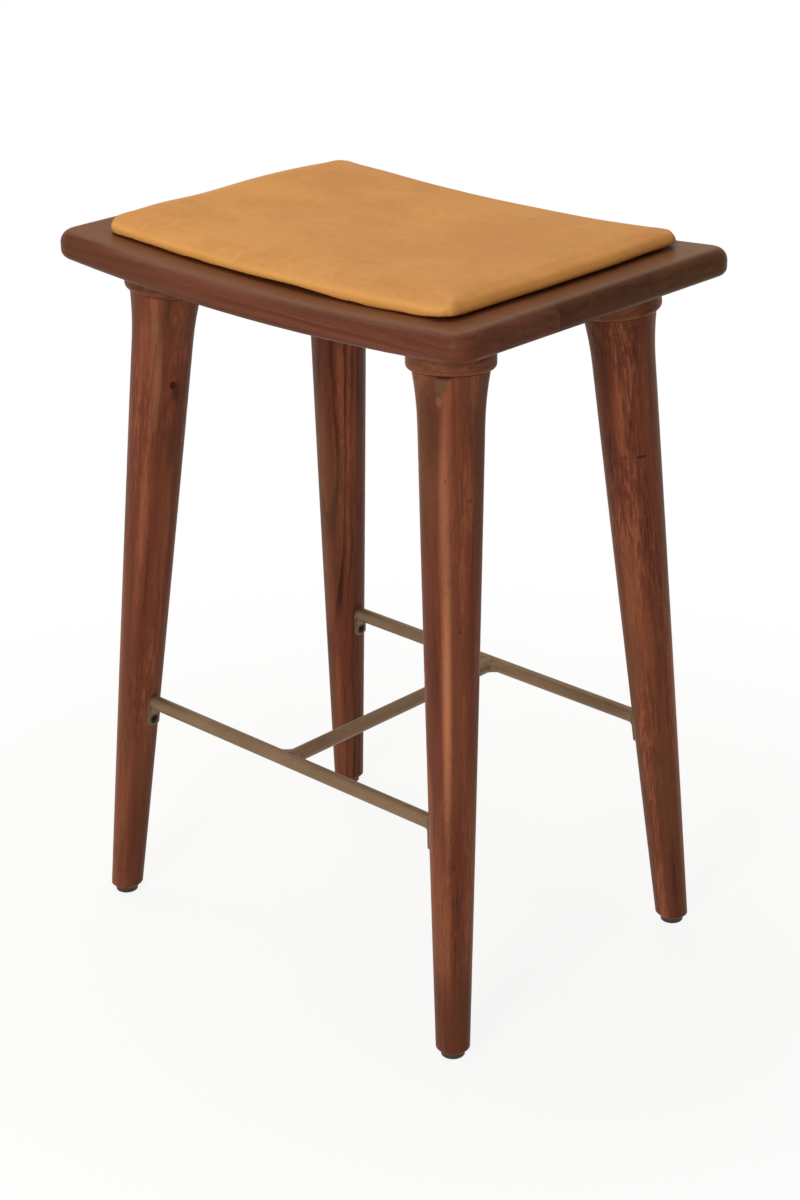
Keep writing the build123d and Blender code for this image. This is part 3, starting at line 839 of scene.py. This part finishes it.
def make_pad():
    """The leather cover with its filling, as one soft closed form."""
    shell = make_pad_shell()
    surface = BVHTree.FromBMesh(shell)
    source = new_object("pad_form", shell)
    remesh = source.modifiers.new("Even", "REMESH")
    remesh.mode = "VOXEL"
    remesh.voxel_size = EVEN_CELL
    coarse = plain_mesh(source, "pad_coarse")
    for vertex in coarse.data.vertices:
        vertex.co = surface.find_nearest(vertex.co)[0]
    before = divided(coarse.data.copy(), "pad_before")
    swell_pad(coarse)
    pad = divided(coarse.data.copy(), "leather_pad")

    # The finer mesh takes the rim's true section, and keeps what the swelling moved
    for vertex, still in zip(pad.data.vertices, before.data.vertices):
        vertex.co += surface.find_nearest(still.co)[0] - still.co
    for spare in (coarse, before):
        bpy.data.objects.remove(spare)
    settle_pad(pad)
    pad.data.materials.clear()
    pad.data.materials.append(leather_material())
    pad.data.polygons.foreach_set("use_smooth", [True] * len(pad.data.polygons))
    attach(pad, "root")
    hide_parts("pad_leather_cover", "pad_foam")
    return pad


def seat_level(x):
    """The height of the seat's top at a distance from its middle."""
    return SEAT_TOP + SEAT_RADIUS - math.sqrt(SEAT_RADIUS**2 - x * x)


def add_plate(form, middle, size, steps, under, over):
    """A thin plate in a form, between two levels that may change over it."""
    layers = []
    for level in (under, over):
        rows = []
        for row in range(steps[0] + 1):
            x = middle.x + size.x * (row / steps[0] - 0.5)
            ys = [middle.y + size.y * (step / steps[1] - 0.5) for step in range(steps[1] + 1)]
            rows.append([form.verts.new((x, y, level(Vector((x, y))))) for y in ys])
        layers.append(rows)
    for row in range(steps[0]):
        for step in range(steps[1]):
            for rows in layers:
                near, far = rows[row], rows[row + 1]
                form.faces.new((near[step], far[step], far[step + 1], near[step + 1]))
    for row in range(steps[0]):
        for step in (0, -1):
            near, far = ((rows[row][step], rows[row + 1][step]) for rows in layers)
            form.faces.new((*near, *reversed(far)))
    for step in range(steps[1]):
        for row in (0, -1):
            near, far = ((rows[row][step], rows[row][step + 1]) for rows in layers)
            form.faces.new((*near, *reversed(far)))


def weave_material(name, light, dark, pitch):
    """Plain-woven cloth: threads over and under each other on a mottled ground."""
    material, bench, shader = new_material(name)
    place = placed(bench)
    cloud = mottled(bench, place, 25.0, 1.0, light, dark)
    split = bench.split(place)
    turns = [bench.times(split[axis], 2 * math.pi / pitch) for axis in "XY"]
    threads = [bench.sum("SINE", turn) for turn in turns]
    crossing = bench.sum("MULTIPLY_ADD", bench.times(*threads), 0.5, 0.5)
    colour = bench.paint(bench.times(crossing, 0.35), cloud["Color"], shade(*dark))
    rough = bench.sum("MULTIPLY_ADD", cloud["Fleck"], 0.1, 0.82)
    finish(bench, shader, colour, rough, crossing, 0.0001)
    return material


def make_dust_cloth():
    """The woven cloth stretched under the pad, its edge turned under as a hem."""

    def under(place):
        away = place - CLOTH_PLACE
        to_edge = min(CLOTH_SIZE.x / 2 - abs(away.x), CLOTH_SIZE.y / 2 - abs(away.y))
        hem = HEM_DEPTH * (1 - ramp(to_edge, *HEM_EDGE))
        return PAD_BASE + pad_rise(place.x) - CLOTH_UNDER - hem + waves(place, *CLOTH_WAVES)

    def over(place):
        return PAD_BASE + pad_rise(place.x) - CLOTH_OVER

    form = bmesh.new()
    add_plate(form, CLOTH_PLACE, CLOTH_SIZE, CLOTH_STEPS, under, over)
    bmesh.ops.recalc_face_normals(form, faces=form.faces)
    cloth = new_object("dust_cloth", form)
    cloth.data.polygons.foreach_set("use_smooth", [True] * len(cloth.data.polygons))
    cloth.data.materials.append(weave_material("Dust cloth", (58, 55, 52), (34, 32, 31), 1.4))
    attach(cloth, "root")
    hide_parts("pad_dust_cloth")


# How far at least a face looks the bristles' way, the most bristles on a square metre before their
# spacing thins them, and how far each is spun either way, in radians
FACING_LEAST = 0.7
BRISTLE_DENSITY = 2000000.0
BRISTLE_SPIN = 0.5


def make_bristle_tree():
    """Geometry nodes that set small bent wires over the face of a plate that looks one way."""
    tree = bpy.data.node_groups.new("Bristles", "GeometryNodeTree")
    inputs = {
        "Plate": ("Geometry", None), "Facing": ("Vector", (0.0, 0.0, 1.0)),
        "Spacing": ("Float", 0.0015), "Bend": ("Vector", (0.0, 0.0, 0.001)),
        "Tip": ("Vector", (0.0006, 0.0, 0.0005)), "Wire Radius": ("Float", 0.0001),
        "Seed": ("Int", 1), "Finish": ("Material", None),
    }
    for name, (kind, value) in inputs.items():
        socket = tree.interface.new_socket(name, in_out="INPUT", socket_type=f"NodeSocket{kind}")
        if value is not None:
            socket.default_value = value
    tree.interface.new_socket("Patch", in_out="OUTPUT", socket_type="NodeSocketGeometry")
    bench = NodeBench(tree)
    given = bench.add("NodeGroupInput").outputs
    normal = bench.add("GeometryNodeInputNormal").outputs[0]
    values = {0: bench.vector("DOT_PRODUCT", normal, given["Facing"]), 1: FACING_LEAST}
    chosen = bench.add("FunctionNodeCompare", values, data_type="FLOAT", operation="GREATER_THAN")
    values = {
        "Mesh": given["Plate"], "Selection": chosen.outputs[0], "Distance Min": given["Spacing"],
        "Density Max": BRISTLE_DENSITY, "Seed": given["Seed"],
    }
    points = bench.add("GeometryNodeDistributePointsOnFaces", values, distribute_method="POISSON")
    points = points.outputs
    values = {"Resolution": 6, "Start": Vector(), "Middle": given["Bend"], "End": given["Tip"]}
    wire = bench.add("GeometryNodeCurveQuadraticBezier", values)
    values = {"Resolution": 4, "Radius": given["Wire Radius"]}
    ring = bench.add("GeometryNodeCurvePrimitiveCircle", values, mode="RADIUS")
    values = {"Curve": wire.outputs[0], "Profile Curve": ring.outputs[0], "Fill Caps": True}
    bristle = bench.add("GeometryNodeCurveToMesh", values).outputs[0]
    values = {"Points": points["Points"], "Instance": bristle, "Rotation": points["Rotation"]}
    planted = bench.add("GeometryNodeInstanceOnPoints", values).outputs[0]
    values = {0: (0.0, 0.0, -BRISTLE_SPIN), 1: (0.0, 0.0, BRISTLE_SPIN), "Seed": given["Seed"]}
    spin = bench.add("FunctionNodeRandomValue", values, data_type="FLOAT_VECTOR").outputs[0]
    values = {"Instances": planted, "Rotation": spin}
    spun = bench.add("GeometryNodeRotateInstances", values).outputs[0]
    joined = bench.add("GeometryNodeJoinGeometry")
    for part in (given["Plate"], spun):
        tree.links.new(part, joined.inputs[0])
    real = bench.add("GeometryNodeRealizeInstances", {"Geometry": joined.outputs[0]}).outputs[0]
    values = {"Geometry": real, "Material": given["Finish"]}
    dressed = bench.add("GeometryNodeSetMaterial", values).outputs[0]
    bench.put(bench.add("NodeGroupOutput").inputs[0], dressed)
    return tree


def make_patches(name, replaced, tree, under, over, **values):
    """Four patches of hook or loop tape."""
    form = bmesh.new()
    for sign_x, sign_y in CORNERS:
        middle = Vector((PATCH_MIDDLE.x * sign_x + CLOTH_PLACE.x, PATCH_MIDDLE.y * sign_y))
        add_plate(form, middle, PATCH_SIZE, PATCH_STEPS, under, over)
    bmesh.ops.recalc_face_normals(form, faces=form.faces)
    source = new_object(f"{name}_plates", form)
    field = source.modifiers.new("Bristles", "NODES")
    field.node_group = tree
    for socket in tree.interface.items_tree:
        if socket.name in values:
            field[socket.identifier] = values[socket.name]
    patches = plain_mesh(source, name)
    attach(patches, "root")
    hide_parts(replaced)


def make_hook_and_loop():
    """Stiff hooks on the seat, and soft loops under the pad that they catch in."""
    tree = make_bristle_tree()
    make_patches(
        "hook_patches", "pad_hook_patches", tree,
        lambda place: seat_level(place.x), lambda place: seat_level(place.x) + HOOK_THICKNESS,
        Facing=(0.0, 0.0, 1.0), Spacing=0.0014, Bend=(0.0, 0.0, 0.0018),
        Tip=(0.0006, 0.0, 0.0004), Seed=3,
        Finish=plain_matter("Hook tape", (40, 38, 37), (26, 25, 24), 0.5, 0.6, 0.00003),
    )
    make_patches(
        "loop_patches", "pad_loop_patches", tree,
        lambda place: PAD_BASE + pad_rise(place.x) - LOOP_UNDER,
        lambda place: PAD_BASE + pad_rise(place.x) - LOOP_OVER,
        Facing=(0.0, 0.0, -1.0), Spacing=0.0012, Bend=(0.0004, 0.0, 0.0015),
        Tip=(0.0008, 0.0, 0.0), Seed=8,
        Finish=plain_matter("Loop tape", (52, 50, 48), (32, 31, 30), 0.85, 0.6, 0.00003),
    )


FLOOR_SIZE = 20.0
FLOOR_COLOUR = (0.97, 0.97, 0.97, 1.0)
FLOOR_REFLECTION = (1.0, 0.92, 0.8, 1.0)
WORLD_COLOUR = (1.0, 0.9, 0.74, 1.0)
WORLD_LIGHT = 0.3
LAMP_COLOUR = (1.0, 0.95, 0.87)


def seen_directly(bench):
    """Whether the camera sees a thing, and whether it or a mirror or glass does."""
    seen = bench.add("ShaderNodeLightPath").outputs
    direct = bench.sum("MAXIMUM", seen["Is Camera Ray"], seen["Is Transmission Ray"])
    return seen["Is Camera Ray"], bench.sum("MAXIMUM", direct, seen["Is Glossy Ray"])


def make_floor():
    """A pale floor that fades to white away from the stool."""
    form = bmesh.new()
    bmesh.ops.create_grid(form, x_segments=2, y_segments=2, size=FLOOR_SIZE)
    floor = new_object("floor", form)
    material, bench, shader = new_material("Pale floor")
    shader.inputs["Base Color"].default_value = FLOOR_COLOUR
    shader.inputs["Roughness"].default_value = 0.9
    shader.inputs["Specular IOR Level"].default_value = 0.1
    far = bench.step(bench.vector("LENGTH", bench.coordinate("Object")), 0.3, 0.9, 0.88, 1.0)
    camera, direct = seen_directly(bench)
    colour = bench.paint(camera, FLOOR_REFLECTION, WHITE)
    white = bench.add("ShaderNodeEmission", {"Color": colour})
    share = bench.times(far, direct)
    values = {0: share, 1: shader.outputs["BSDF"], 2: white.outputs[0]}
    mix = bench.add("ShaderNodeMixShader", values)
    bench.put(material.node_tree.nodes["Material Output"].inputs["Surface"], mix.outputs[0])
    floor.data.materials.append(material)


def make_world():
    """Plain soft warm light, white to the camera and at full strength in reflections."""
    world = bpy.data.worlds.new("Studio")
    bpy.context.scene.world = world
    world.use_nodes = True
    bench = NodeBench(world.node_tree)
    background = world.node_tree.nodes["Background"]
    camera, direct = seen_directly(bench)
    bench.put(background.inputs["Color"], bench.paint(camera, WORLD_COLOUR, WHITE))
    strength = bench.sum("MULTIPLY_ADD", direct, 1 - WORLD_LIGHT, WORLD_LIGHT)
    bench.put(background.inputs["Strength"], strength)


def soft_box(name, place, aim, size, power):
    """A large soft lamp that faces a point."""
    lamp = bpy.data.lights.new(name, "AREA")
    lamp.shape = "RECTANGLE"
    lamp.size, lamp.size_y = size
    lamp.energy = power
    lamp.color = LAMP_COLOUR
    holder = linked(name, lamp)
    holder.location = place
    holder.rotation_euler = (Vector(aim) - Vector(place)).to_track_quat("-Z", "Y").to_euler()


def make_lamps():
    """One soft box over the stool, and a taller one in front of it."""
    soft_box("overhead", (-0.75, 0.1, 2.45), (0.0, 0.0, 0.6), (1.3, 1.3), 22.5)
    soft_box("front", (0.8, -2.6, 1.4), (0.0, 0.0, 0.42), (0.8, 1.8), 46.0)


# The photograph's viewpoint: its place, how far it is turned, tipped and rolled in degrees, and its
# lens and film in millimetres
VIEW_PLACE = (1.4674, -1.5411, 1.2340)
VIEW_ANGLES = (43.41, 23.29, -0.59)
VIEW_LENS = 75.9
VIEW_FILM = 36.0


def make_camera():
    """Looks from the photograph's viewpoint."""
    turn, tip, roll = (math.radians(angle) for angle in VIEW_ANGLES)
    level_share = math.cos(tip)
    ahead = Vector((-math.sin(turn) * level_share, math.cos(turn) * level_share, -math.sin(tip)))
    right = Vector((math.cos(turn), math.sin(turn), 0.0))
    up = right.cross(ahead)
    level = right * math.cos(roll) + up * math.sin(roll)
    top = up * math.cos(roll) - right * math.sin(roll)
    data = bpy.data.cameras.new("view")
    data.lens = VIEW_LENS
    data.sensor_width = VIEW_FILM
    camera = linked("view", data)
    axes = Matrix((level, top, -ahead)).transposed().to_4x4()
    camera.matrix_world = Matrix.Translation(VIEW_PLACE) @ axes
    bpy.context.scene.camera = camera


make_camera()
make_world()
make_lamps()
make_floor()
dress_wood()
bronze = rod_material("Bronze coating", (134, 110, 87), (116, 93, 72))
# A darker copy of the coating for the tabs: painted shade where the rods shade them
shaded_tab_bronze = rod_material("Bronze coating with painted shade", (112, 92, 70), (92, 74, 56))
rods = ("footrail_front", "footrail_back", "footrest_crossbar", "crossbar_welds", "rail_tab_welds")
for name in rods:
    give(name, bronze)
glide_plastic = plain_matter("Glide plastic", (44, 38, 34), (30, 26, 24), 0.55, 0.8, 0.00004)
for corner in LEG_WOOD:
    give(f"rail_tab_{corner}", shaded_tab_bronze)
    give(f"foot_glide_{corner}", glide_plastic)
steel = dict(cell=0.4, depth=0.00002, cloud=3.0, uneven=0.2, metal=1.0)
give("tab_screws", plain_matter("Screw steel", (66, 54, 42), (40, 31, 24), 0.4, **steel))
give("glide_nails", plain_matter("Nail steel", (168, 168, 166), (120, 120, 118), 0.35, **steel))
give("pad_board", plain_matter("Pad board", (196, 160, 112), (170, 132, 88), 0.6, 1.5, 0.00008))
pad = make_pad()
make_dust_cloth()
make_hook_and_loop()

bpy.context.scene.view_settings.view_transform = "Standard"
bpy.context.view_layer.update()
